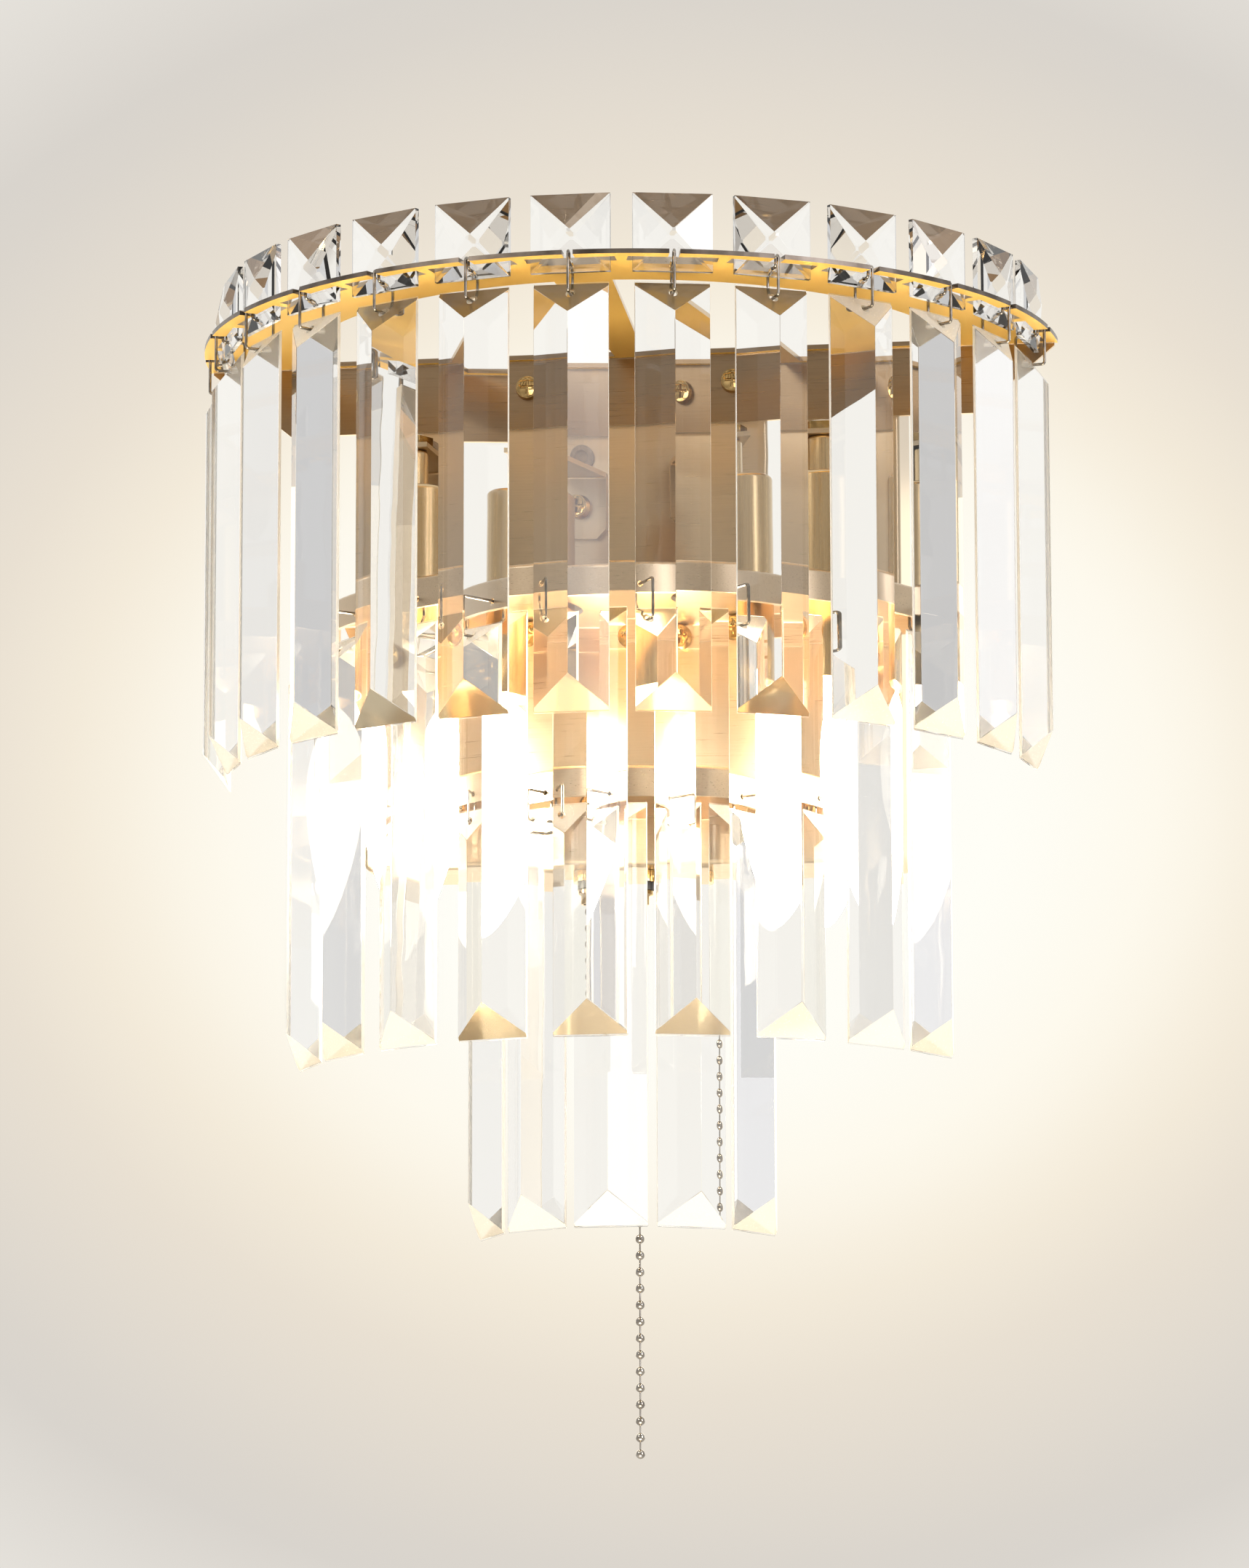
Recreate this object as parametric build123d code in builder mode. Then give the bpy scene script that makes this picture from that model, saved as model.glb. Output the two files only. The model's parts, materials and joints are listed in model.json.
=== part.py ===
from build123d import *
import math
import os

os.makedirs("parts", exist_ok=True)

# Frame: the wall is Y = 0 and the fitting stands out towards -Y, Z is up, X = 0 is the middle.
panDepth = 30.0
panHalfWidth = 83.0
panTop = 79.0
panBottom = -78.4
panSheet = 1.2
sheet = 1.4
foldY = -panDepth

# Top tier: half-round ring plate with two windows, slots for the squares and a rear flange.
topZ = 80.0
topRadius = 132.0
topCentreY = foldY + 3.0
topInnerRadius = 101.0
topFlangeTop = 131.0
topFlangeBottom = 106.5
topFlangeHeight = 21.4
webFront = 8.9
webBack = 4.6
windowGap = 3.2
topCount = 13
topPitch = 13.6
slotRadius = 125.3
slotWidth = 4.9
slotLength = 26.6
slitWidth = 3.2
bendInside = 0.6
bendOutside = 1.3

# Middle and bottom tiers: solid plates with a down-turned front band and a rear flange.
midZ = -2.0
midRadius = 103.0
midCentreY = foldY + 21.0
midHalfWidth = 92.0
midAngles = [-62.0, -48.5, -32.3, -16.1, 0.0, 16.1, 32.3, 48.5, 62.0]
lowZ = -56.2
lowRadius = 41.2
lowCentreY = foldY
lowHalfWidth = 41.2
lowAngles = [-62.0, -31.0, 0.0, 31.0, 62.0]
bandHeight = 8.0
flangeHeight = 7.6

# Hanging prisms: flat back, ridge outwards, both ends bevelled back from the ridge.
prismWidth = 22.0
prismLength = 127.0
prismDepth = 8.0
prismEdge = 1.0
prismBevel = 10.2
prismHoleDrop = 3.8
prismHoleRadius = 1.25
topPrismBack = 123.7
topPrismZ = 73.4
midPrismBack = midRadius + 2.8
midPrismZ = -15.6
lowPrismBack = lowRadius + 3.2
lowPrismZ = -67.0

# Square crystals standing in the slots of the top plate.
squareSize = 23.4
squareBottom = 76.2
squareEdge = 1.6
squareRise = 3.6
squareTable = 1.0
squareHoleRadius = 1.0
wireRadius = 0.45

# Fixing screws of the three plates, and the screws that hold the pan to its wall bracket.
screwX = 31.9
topScrewZ = 71.3
midScrewZ = -6.2
lowScrewX = 20.0
lowScrewZ = -60.4
headRadius = 3.9
headHeight = 2.0
shankRadius = 1.9
shankLength = 9.0
screwHoleRadius = 2.2

# Lamps.
lampX = 63.0
lampY = foldY - 31.0
armZ = 45.5
armSheet = 1.5
armReach = 7.0
armFrontHalf = 5.8
armBackHalf = 9.0
legBottom = 26.0
legScrewZ = 36.0
wireHoleZ = 52.0
wireHoleRadius = 3.0
stemRadius = 5.0
nippleRadius = 3.9
nippleBore = 2.6
coverRadius = 12.7
coverTop = 33.4
coverBottom = -30.0
coverWall = 0.8
coverShoulder = 1.6
holderRadius = 11.2
holderBottom = -25.8
bulbTop = -24.0
bulbNeckZ = -32.0
bulbBottom = -104.0
bulbBulge = 20.0
plateHoleRadius = 15.2

# Pull switch.
switchY = foldY + 15.0
ringRadius = 6.5
neckRadius = 4.6
nozzleRadius = 3.1
chainTop = -88.0
chainBottom = -258.0
chainRadius = 1.45

# Wall bracket.
bracketHalfWidth = 78.0
bracketHalfHeight = 14.0
wallHoleSpacing = 88.9
wallHoleRadius = 2.6
cableHoleRadius = 11.0


def save(part, label):
    part.label = label
    export_step(part, "parts/" + label + ".step")


def outward(angle):
    a = math.radians(angle)
    return Vector(math.sin(a), -math.cos(a), 0)


def sidePlane(angle, centreY):
    # Local X runs outwards from the arc's centre and local Y is up.
    out = outward(angle)
    return Plane(origin=(0, centreY, 0), x_dir=out, z_dir=(out.Y, -out.X, 0))


def facePlane(angle, centreY, radius, height):
    # Faces outwards at the given radius, local Y is up.
    out = outward(angle)
    spot = Vector(0, centreY, height) + out * radius
    return Plane(origin=spot, x_dir=(-out.Y, out.X, 0), z_dir=out)


def flatPlane(angle, centreY, height):
    # Horizontal, local X outwards.
    out = outward(angle)
    return Plane(origin=(0, centreY, height), x_dir=out, z_dir=(0, 0, 1))


# Backplate pan, open towards the wall, with rounded edges.
panMidZ = (panTop + panBottom) / 2
panHeight = panTop - panBottom
with BuildPart() as pan:
    with BuildSketch(Plane.XZ.offset(panDepth)):
        with Locations((0, panMidZ)):
            Rectangle(2 * panHalfWidth, panHeight)
    extrude(amount=-panDepth)
    fillet(pan.edges().filter_by(Axis.Y), radius=2.5)
    fillet(pan.faces().sort_by(Axis.Y)[0].edges(), radius=1.6)
    offset(amount=-panSheet, openings=pan.faces().sort_by(Axis.Y)[-1])
    holes = [(-screwX, topScrewZ), (screwX, topScrewZ), (-screwX, midScrewZ), (screwX, midScrewZ)]
    holes += [(-lowScrewX, lowScrewZ), (lowScrewX, lowScrewZ)]
    holes += [(-lampX, legScrewZ), (lampX, legScrewZ)]
    with BuildSketch(Plane.XZ.offset(panDepth + 1)):
        with Locations(*holes):
            Circle(screwHoleRadius)
        with Locations((-lampX, wireHoleZ), (lampX, wireHoleZ)):
            Circle(wireHoleRadius)
    extrude(amount=-4, mode=Mode.SUBTRACT)
    with BuildSketch(Plane.XY.offset(panBottom - 1)):
        with Locations((0, switchY)):
            Circle(neckRadius + 0.3)
    extrude(amount=4, mode=Mode.SUBTRACT)
    with BuildSketch(Plane.YZ.offset(-panHalfWidth - 1)):
        with Locations((-9, 0)):
            Circle(screwHoleRadius)
    extrude(amount=2 * panHalfWidth + 2, mode=Mode.SUBTRACT)
save(pan.part, "backplate_pan")

# Wall bracket: a strap with turned-out ears that the side screws bite into.
with BuildPart() as bracket:
    with BuildSketch(Plane.XZ.offset(1.5)):
        Rectangle(2 * bracketHalfWidth, 2 * bracketHalfHeight)
        with Locations((-wallHoleSpacing / 2, 0), (wallHoleSpacing / 2, 0)):
            Circle(wallHoleRadius, mode=Mode.SUBTRACT)
        with Locations((0, 0)):
            Circle(cableHoleRadius, mode=Mode.SUBTRACT)
    extrude(amount=-1.5)
    with Locations((-bracketHalfWidth + 0.75, -8.5, 0), (bracketHalfWidth - 0.75, -8.5, 0)):
        Box(1.5, 15, 2 * bracketHalfHeight)
    with BuildSketch(Plane.YZ.offset(-bracketHalfWidth - 1)):
        with Locations((-9, 0)):
            Circle(shankRadius + 0.05)
    extrude(amount=2 * bracketHalfWidth + 2, mode=Mode.SUBTRACT)
save(bracket.part, "wall_bracket")


def makeScrew(length):
    # Pan head on top of the XY plane, shank below it, cross recess in the head.
    with BuildPart() as screw:
        with BuildSketch(Plane.XY):
            Circle(headRadius)
        extrude(amount=headHeight, taper=12)
        with BuildSketch(Plane.XY):
            Circle(shankRadius)
        extrude(amount=-length)
        with BuildSketch(Plane.XY.offset(headHeight - 1.1)):
            Rectangle(4.4, 0.9)
            Rectangle(0.9, 4.4)
        extrude(amount=2, mode=Mode.SUBTRACT)
    return screw.part


def frontPlane(x, y, z):
    return Plane(origin=(x, y, z), x_dir=(1, 0, 0), z_dir=(0, -1, 0))


sideScrew = makeScrew(8.0)
plateScrew = makeScrew(shankLength)
with BuildPart() as sideScrews:
    for side in (-1, 1):
        edge = side * (panHalfWidth + 0.05)
        with Locations(Plane(origin=(edge, -9, 0), x_dir=(0, 1, 0), z_dir=(side, 0, 0)).location):
            add(sideScrew)
save(sideScrews.part, "side_screws")

for label, x, z in (
    ("tier1_screws", screwX, topScrewZ),
    ("tier2_screws", screwX, midScrewZ),
    ("tier3_screws", lowScrewX, lowScrewZ),
):
    with BuildPart() as plateScrews:
        for side in (-1, 1):
            with Locations(frontPlane(side * x, foldY - sheet - 0.05, z).location):
                add(plateScrew)
    save(plateScrews.part, label)


def roundBends(plate, z):
    # The flange is folded down, so its long corner is round outside and inside.
    edges = plate.edges().filter_by(Axis.X)
    outside = edges.filter_by_position(Axis.Y, foldY - 0.1, foldY + 0.1)
    outside = outside.filter_by_position(Axis.Z, z + sheet - 0.1, z + sheet + 0.1)
    inside = edges.filter_by_position(Axis.Y, foldY - sheet - 0.1, foldY - sheet + 0.1)
    inside = inside.filter_by_position(Axis.Z, z - 0.1, z + 0.1)
    fillet(outside, radius=bendOutside)
    fillet(inside, radius=bendInside)


# Top plate, its windows, slots and slits, and the rear flange with cut-off corners.
with BuildPart() as topPlate:
    with BuildSketch(Plane.XY.offset(topZ)):
        with Locations((0, topCentreY)):
            Circle(topRadius)
        with Locations((0, foldY + 150)):
            Rectangle(400, 300, mode=Mode.SUBTRACT)
    extrude(amount=sheet)
    for side in (-1, 1):
        with BuildSketch(Plane.XY.offset(topZ - 1)):
            with Locations((0, topCentreY)):
                Circle(topInnerRadius)
            with BuildLine():
                Polyline(
                    (side * webFront, topCentreY - topInnerRadius - 5),
                    (side * webBack, foldY - windowGap),
                    (side * 150, foldY - windowGap),
                    (side * 150, topCentreY - topInnerRadius - 5),
                    close=True,
                )
            make_face(mode=Mode.INTERSECT)
        extrude(amount=4, mode=Mode.SUBTRACT)
    for i in range(topCount):
        turn = (i - (topCount - 1) / 2) * topPitch
        with BuildSketch(flatPlane(turn, topCentreY, topZ - 1)):
            with Locations((slotRadius, 0)):
                Rectangle(slotWidth, slotLength)
            with Locations((slotRadius + 10, 0)):
                Rectangle(20, slitWidth)
        extrude(amount=4, mode=Mode.SUBTRACT)
    with BuildSketch(Plane.XZ.offset(panDepth)):
        with BuildLine():
            Polyline(
                (-topFlangeTop, topZ + sheet),
                (topFlangeTop, topZ + sheet),
                (topFlangeTop, topZ - 1.0),
                (topFlangeBottom, topZ - topFlangeHeight),
                (-topFlangeBottom, topZ - topFlangeHeight),
                (-topFlangeTop, topZ - 1.0),
                close=True,
            )
        make_face()
        with Locations((-screwX, topScrewZ), (screwX, topScrewZ)):
            Circle(screwHoleRadius, mode=Mode.SUBTRACT)
    extrude(amount=sheet)
    roundBends(topPlate, topZ)
save(topPlate.part, "tier1_plate")


def tierPlate(label, centreY, radius, halfWidth, z, holeX, holeZ, flangeTop, flangeBottom, angles, lampHoles):
    with BuildPart() as plate:
        with BuildSketch(Plane.XY.offset(z - bandHeight)):
            with Locations((0, centreY)):
                Circle(radius)
            with Locations((0, foldY - 100)):
                Rectangle(2 * halfWidth, 200, mode=Mode.INTERSECT)
        extrude(amount=bandHeight + sheet)
        with BuildSketch(Plane.XY.offset(z - bandHeight - 1)):
            with Locations((0, centreY)):
                Circle(radius - sheet)
            with Locations((0, foldY - 99)):
                Rectangle(2 * (halfWidth - sheet), 202, mode=Mode.INTERSECT)
        extrude(amount=bandHeight + 1, mode=Mode.SUBTRACT)
        with BuildSketch(Plane.XZ.offset(panDepth)):
            with BuildLine():
                Polyline(
                    (-flangeTop, z + sheet),
                    (flangeTop, z + sheet),
                    (flangeBottom, z - flangeHeight),
                    (-flangeBottom, z - flangeHeight),
                    close=True,
                )
            make_face()
        extrude(amount=sheet)
        with BuildSketch(Plane.XZ.offset(panDepth - 1)):
            with Locations((-holeX, holeZ), (holeX, holeZ)):
                Circle(screwHoleRadius)
        extrude(amount=sheet + 2, mode=Mode.SUBTRACT)
        if lampHoles:
            with BuildSketch(Plane.XY.offset(z - 1)):
                with Locations((-lampX, lampY), (lampX, lampY)):
                    Circle(plateHoleRadius)
            extrude(amount=4, mode=Mode.SUBTRACT)
        roundBends(plate, z)
        rim = plate.faces().sort_by(Axis.Z)[-1].edges().filter_by(GeomType.CIRCLE).sort_by(SortBy.LENGTH)[-1]
        fillet(rim, radius=bendOutside)
        for turn in angles:
            with BuildSketch(facePlane(turn, centreY, radius - sheet - 2, z - bandHeight + 2.5)):
                Circle(0.9)
            extrude(amount=sheet + 4, mode=Mode.SUBTRACT)
    save(plate.part, label)


tierPlate(
    "tier2_plate", midCentreY, midRadius, midHalfWidth, midZ, screwX, midScrewZ, 90.0, 86.0, midAngles, True
)
tierPlate(
    "tier3_plate", lowCentreY, lowRadius, lowHalfWidth, lowZ, lowScrewX, lowScrewZ, 38.0, 35.0, lowAngles, False
)


def makePrism(label, turn, centreY, back, top):
    # Flat back, two long facets to the ridge, the ends sloped back from the ridge.
    half = prismWidth / 2
    slope = prismBevel / prismDepth
    bottom = top - prismLength
    reach = prismDepth + 2
    with BuildPart() as prism:
        with BuildSketch(flatPlane(turn, centreY, bottom)):
            with BuildLine():
                Polyline(
                    (back, -half),
                    (back, half),
                    (back + prismEdge, half),
                    (back + prismDepth, 0),
                    (back + prismEdge, -half),
                    close=True,
                )
            make_face()
        extrude(amount=prismLength)
        with BuildSketch(sidePlane(turn, centreY)):
            with BuildLine():
                Polyline(
                    (back + 0.3, top + 1),
                    (back + 0.3, top - 0.3 * slope),
                    (back + reach, top - reach * slope),
                    (back + reach, top + 1),
                    close=True,
                )
            make_face()
            with BuildLine():
                Polyline(
                    (back + 0.3, bottom - 1),
                    (back + 0.3, bottom + 0.3 * slope),
                    (back + reach, bottom + reach * slope),
                    (back + reach, bottom - 1),
                    close=True,
                )
            make_face()
        extrude(amount=half + 2, both=True, mode=Mode.SUBTRACT)
        with BuildSketch(facePlane(turn, centreY, back - 1, top - prismHoleDrop)):
            Circle(prismHoleRadius)
        extrude(amount=prismDepth + 3, mode=Mode.SUBTRACT)
    save(prism.part, label)


topAngles = [(i - (topCount - 1) / 2) * topPitch for i in range(topCount)]
for i in range(topCount):
    makePrism("tier1_prism_%02d" % (i + 1), topAngles[i], topCentreY, topPrismBack, topPrismZ)
for i in range(len(midAngles)):
    makePrism("tier2_prism_%02d" % (i + 1), midAngles[i], midCentreY, midPrismBack, midPrismZ)
for i in range(len(lowAngles)):
    makePrism("tier3_prism_%02d" % (i + 1), lowAngles[i], lowCentreY, lowPrismBack, lowPrismZ)

# Square crystals: a thin girdle with a low pyramid on both faces, drilled near the lower edge.
squareMid = squareBottom + squareSize / 2
squareHoleZ = squareBottom + 2.4
with BuildPart() as squares:
    for turn in topAngles:
        middle = facePlane(turn, topCentreY, slotRadius, squareMid)
        with BuildSketch(middle.offset(-squareEdge / 2)):
            Rectangle(squareSize, squareSize)
        extrude(amount=squareEdge)
        for side in (-1, 1):
            with BuildSketch(middle.offset(side * squareEdge / 2)):
                Rectangle(squareSize, squareSize)
            with BuildSketch(middle.offset(side * (squareEdge / 2 + squareRise))):
                Rectangle(squareTable, squareTable)
            loft(ruled=True)
        with BuildSketch(facePlane(turn, topCentreY, slotRadius - 6, squareHoleZ)):
            Circle(squareHoleRadius)
        extrude(amount=12, mode=Mode.SUBTRACT)
save(squares.part, "square_crystals")


def makeWire(points):
    # A closed loop of round wire bent in the XY plane.
    with BuildPart() as loop:
        with BuildLine(Plane.XY) as path:
            FilletPolyline(*points, radius=0.9, close=True)
        with BuildSketch(Plane(origin=path.line @ 0, z_dir=path.line % 0)):
            Circle(wireRadius)
        sweep(path=path.line)
    return loop.part


topHoleZ = topPrismZ - prismHoleDrop
topLoop = makeWire(
    [
        (slotRadius - 3.7, squareHoleZ),
        (slotRadius + 3.1, squareHoleZ),
        (slotRadius + 3.1, topZ + sheet + 0.2),
        (slotRadius + 5.2, topZ + sheet + 0.2),
        (slotRadius + 5.2, topHoleZ),
        (slotRadius - 3.7, topHoleZ),
    ]
)
with BuildPart() as topWires:
    for turn in topAngles:
        with Locations(sidePlane(turn, topCentreY).location):
            add(topLoop)
save(topWires.part, "tier1_wires")

for label, centreY, radius, turns, z, hangZ in (
    ("tier2_hooks", midCentreY, midRadius, midAngles, midZ, midPrismZ),
    ("tier3_hooks", lowCentreY, lowRadius, lowAngles, lowZ, lowPrismZ),
):
    bandHoleZ = z - bandHeight + 2.5
    hookLoop = makeWire(
        [
            (radius - 3.2, bandHoleZ),
            (radius + 8.0, bandHoleZ),
            (radius + 8.0, hangZ - prismHoleDrop),
            (radius + 0.4, hangZ - prismHoleDrop),
            (radius - 3.2, bandHoleZ - 4.7),
        ]
    )
    with BuildPart() as hooks:
        for turn in turns:
            with Locations(sidePlane(turn, centreY).location):
                add(hookLoop)
    save(hooks.part, label)

with BuildPart() as lampScrews:
    for side in (-1, 1):
        with Locations(frontPlane(side * lampX, foldY - armSheet - 0.05, legScrewZ).location):
            add(plateScrew)
save(lampScrews.part, "lamp_bracket_screws")

# Lamp parts, one set at each side: a tapered arm, a stem, the holder on its hollow nipple, the
# drawn cover and the bulb.
for side, word in ((-1, "left"), (1, "right")):
    x = side * lampX
    with BuildPart() as lampBracket:
        with BuildSketch(Plane.XY.offset(armZ)):
            with BuildLine():
                Polyline(
                    (x - armBackHalf, foldY),
                    (x + armBackHalf, foldY),
                    (x + armFrontHalf, lampY - armReach),
                    (x - armFrontHalf, lampY - armReach),
                    close=True,
                )
            make_face()
            with Locations((x, lampY)):
                Circle(nippleRadius + 0.1, mode=Mode.SUBTRACT)
        extrude(amount=armSheet)
        with BuildSketch(Plane.XZ.offset(panDepth)):
            with BuildLine():
                Polyline(
                    (x - armBackHalf, armZ + armSheet),
                    (x + armBackHalf, armZ + armSheet),
                    (x + armBackHalf, legBottom + 3),
                    (x + armBackHalf - 3, legBottom),
                    (x - armBackHalf + 3, legBottom),
                    (x - armBackHalf, legBottom + 3),
                    close=True,
                )
            make_face()
            with Locations((x, legScrewZ)):
                Circle(screwHoleRadius, mode=Mode.SUBTRACT)
        extrude(amount=armSheet)
        bends = lampBracket.edges().filter_by(Axis.X)
        outside = bends.filter_by_position(Axis.Y, foldY - 0.1, foldY + 0.1)
        fillet(outside.filter_by_position(Axis.Z, armZ + 1, armZ + 2), radius=bendOutside)
        inside = bends.filter_by_position(Axis.Y, foldY - armSheet - 0.1, foldY - armSheet + 0.1)
        fillet(inside.filter_by_position(Axis.Z, armZ - 0.1, armZ + 0.1), radius=bendInside)
    save(lampBracket.part, "lamp_bracket_" + word)
    with BuildPart() as stem:
        with BuildSketch(Plane.XY.offset(coverTop + 0.05)):
            with Locations((x, lampY)):
                Circle(stemRadius)
        extrude(amount=armZ - coverTop - 0.1)
        fillet(stem.edges().filter_by(GeomType.CIRCLE), radius=0.9)
        with BuildSketch(Plane.XY.offset(coverTop)):
            with Locations((x, lampY)):
                Circle(nippleRadius + 0.05)
        extrude(amount=armZ - coverTop, mode=Mode.SUBTRACT)
    save(stem.part, "lamp_cup_" + word)
    with BuildPart() as holder:
        with BuildSketch(Plane.XZ.offset(-lampY)):
            with BuildLine():
                Polyline(
                    (x + nippleBore, armZ + armSheet + 3.4),
                    (x + nippleRadius, armZ + armSheet + 3.4),
                    (x + nippleRadius, coverTop - coverWall - 0.05),
                    (x + holderRadius - 1.2, coverTop - coverWall - 0.05),
                    (x + holderRadius, coverTop - coverWall - 1.6),
                    (x + holderRadius, holderBottom),
                    (x + 7.6, holderBottom),
                    (x + 7.6, holderBottom + 31),
                    (x + nippleBore, holderBottom + 34),
                    close=True,
                )
            make_face()
        revolve(axis=Axis((x, lampY, 0), (0, 0, 1)))
    save(holder.part, "lampholder_" + word)
    with BuildPart() as cover:
        with BuildSketch(Plane.XY.offset(coverBottom)):
            with Locations((x, lampY)):
                Circle(coverRadius)
        extrude(amount=coverTop - coverBottom)
        fillet(cover.edges().filter_by(GeomType.CIRCLE).sort_by(Axis.Z)[-1], radius=coverShoulder)
        offset(amount=-coverWall, openings=cover.faces().sort_by(Axis.Z)[0])
        with BuildSketch(Plane.XY.offset(coverTop - 3)):
            with Locations((x, lampY)):
                Circle(nippleRadius + 0.1)
        extrude(amount=6, mode=Mode.SUBTRACT)
    save(cover.part, "lamp_cover_" + word)
    with BuildPart() as bulb:
        with BuildSketch(Plane.XZ.offset(-lampY)):
            with BuildLine():
                Line((x, bulbTop), (x + 7.2, bulbTop))
                Line((x + 7.2, bulbTop), (x + 8.4, bulbNeckZ))
                Bezier(
                    (x + 8.4, bulbNeckZ),
                    (x + bulbBulge, bulbNeckZ - 10),
                    (x + bulbBulge, bulbNeckZ - 34),
                    (x + 6.0, bulbBottom),
                    (x, bulbBottom),
                )
                Line((x, bulbBottom), (x, bulbTop))
            make_face()
        revolve(axis=Axis((x, lampY, 0), (0, 0, 1)))
    save(bulb.part, "bulb_" + word)

with BuildPart() as caps:
    for side in (-1, 1):
        with BuildSketch(Plane.XY.offset(bulbTop + 0.1)):
            with Locations((side * lampX, lampY)):
                Circle(6.8)
        extrude(amount=20)
        with BuildSketch(Plane.XY.offset(bulbTop + 20.1)):
            with Locations((side * lampX, lampY)):
                Circle(3.5)
        extrude(amount=3.5)
save(caps.part, "bulb_caps")

with BuildPart() as lampNuts:
    for side in (-1, 1):
        with BuildSketch(Plane.XY.offset(armZ + armSheet + 0.05)):
            with Locations((side * lampX, lampY)):
                RegularPolygon(radius=6.6, side_count=6)
                Circle(nippleRadius + 0.05, mode=Mode.SUBTRACT)
        extrude(amount=2.6)
save(lampNuts.part, "lamp_nuts")

# Pull switch in the middle of the pan's lower lip.
with BuildPart() as switchBody:
    with BuildSketch(Plane.XY.offset(panBottom + panSheet + 0.1)):
        with Locations((0, switchY)):
            Rectangle(20, 18)
    extrude(amount=22)
    with BuildSketch(Plane.XY.offset(panBottom + panSheet + 0.1)):
        with Locations((0, switchY)):
            Circle(neckRadius)
    extrude(amount=-7)
    with BuildSketch(Plane.XY.offset(panBottom - 8)):
        with Locations((0, switchY)):
            Circle(2.4)
    extrude(amount=22, mode=Mode.SUBTRACT)
save(switchBody.part, "switch_body")

with BuildPart() as switchRing:
    with BuildSketch(Plane.XY.offset(panBottom - 0.1)):
        with Locations((0, switchY)):
            Circle(ringRadius)
            with PolarLocations(ringRadius + 0.15, 24):
                Circle(0.5, mode=Mode.SUBTRACT)
            Circle(neckRadius + 0.05, mode=Mode.SUBTRACT)
    extrude(amount=-3.4)
save(switchRing.part, "switch_ring")

with BuildPart() as nozzle:
    with BuildSketch(Plane.YZ):
        with BuildLine():
            Polyline(
                (switchY + 2.1, panBottom - 5.9),
                (switchY + 4.4, panBottom - 5.9),
                (switchY + 4.4, panBottom - 7.2),
                (switchY + nozzleRadius, panBottom - 7.6),
                (switchY + nozzleRadius, panBottom - 10.2),
                (switchY + 2.1, panBottom - 10.2),
                close=True,
            )
        make_face()
    revolve(axis=Axis((0, switchY, 0), (0, 0, 1)))
save(nozzle.part, "switch_nozzle")

with BuildPart() as actuator:
    with BuildSketch(Plane.XY.offset(chainTop + 0.1)):
        with Locations((0, switchY)):
            Circle(1.6)
    extrude(amount=18)
save(actuator.part, "switch_actuator")

with BuildPart() as chain:
    with BuildSketch(Plane.XY.offset(chainBottom)):
        with Locations((0, switchY)):
            Circle(chainRadius)
    extrude(amount=chainTop - chainBottom)
save(chain.part, "pull_chain")

# Terminal block inside the pan.
with BuildPart() as terminal:
    with BuildSketch(Plane.XZ.offset(6)):
        with Locations((0, 36)):
            Rectangle(34, 16)
            with Locations((-10, 36), (0, 36), (10, 36)):
                Circle(2.2, mode=Mode.SUBTRACT)
    extrude(amount=12)
save(terminal.part, "terminal_block")
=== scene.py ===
import json
import math
import bmesh
import bpy
import numpy as np
from mathutils import Matrix, Vector


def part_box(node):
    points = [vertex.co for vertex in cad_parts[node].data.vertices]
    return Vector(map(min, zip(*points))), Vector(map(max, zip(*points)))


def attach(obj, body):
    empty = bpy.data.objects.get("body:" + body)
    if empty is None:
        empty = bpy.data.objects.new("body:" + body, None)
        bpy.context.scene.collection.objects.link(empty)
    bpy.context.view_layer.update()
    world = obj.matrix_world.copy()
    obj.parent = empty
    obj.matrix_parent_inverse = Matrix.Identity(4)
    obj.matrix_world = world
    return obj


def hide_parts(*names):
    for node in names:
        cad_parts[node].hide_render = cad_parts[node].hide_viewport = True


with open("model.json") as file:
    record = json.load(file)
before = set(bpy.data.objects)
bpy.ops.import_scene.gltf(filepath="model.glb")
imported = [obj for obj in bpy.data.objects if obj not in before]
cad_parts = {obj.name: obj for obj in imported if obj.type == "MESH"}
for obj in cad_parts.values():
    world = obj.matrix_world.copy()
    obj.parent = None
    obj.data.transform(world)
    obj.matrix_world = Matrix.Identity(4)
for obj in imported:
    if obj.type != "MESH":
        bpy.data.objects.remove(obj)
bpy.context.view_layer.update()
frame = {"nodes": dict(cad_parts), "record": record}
print("frame loaded:", len(frame["nodes"]), "nodes")

nodeBody = {member: bodyName for bodyName, members in frame["record"]["behaviour"]["bodies"].items()
            for member in members}


# colour and node helpers

def linearColour(hexText):
    # sRGB hex to linear: under 0.04045 divide by 12.92, else ((v + 0.055) / 1.055) to the power 2.4
    values = [int(hexText[i:i + 2], 16) / 255 for i in (1, 3, 5)]
    return tuple(v / 12.92 if v <= 0.04045 else ((v + 0.055) / 1.055) ** 2.4 for v in values) + (1.0,)


def addNode(tree, kind, values=None, options=None, links=None):
    # one node with its input values, its options and what feeds it
    node = tree.nodes.new(kind)
    for key, value in (options or {}).items():
        setattr(node, key, value)
    for key, value in (values or {}).items():
        node.inputs[key].default_value = value
    for key, source in (links or {}).items():
        tree.links.new(source, node.inputs[key])
    return node


def newMaterial(name, values):
    # a Principled surface with its plain values on the shader's own sockets
    material = bpy.data.materials.new(name)
    material.use_nodes = True
    tree = material.node_tree
    shader = tree.nodes["Principled BSDF"]
    for key, value in values.items():
        shader.inputs[key].default_value = value
    return material, tree, shader


def setRamp(node, stops):
    # a colour ramp with these (place, colour) stops
    ramp = node.color_ramp
    while len(ramp.elements) < len(stops):
        ramp.elements.new(0.5)
    for element, (place, colour) in zip(ramp.elements, stops):
        element.position = place
        element.color = colour
    return node


def twoTones(settings, span):
    # ramp stops from the dark tone to the light one, over a span of noise values
    return [(span[0], linearColour(settings["dark"])), (span[1], linearColour(settings["light"]))]


# materials

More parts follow.
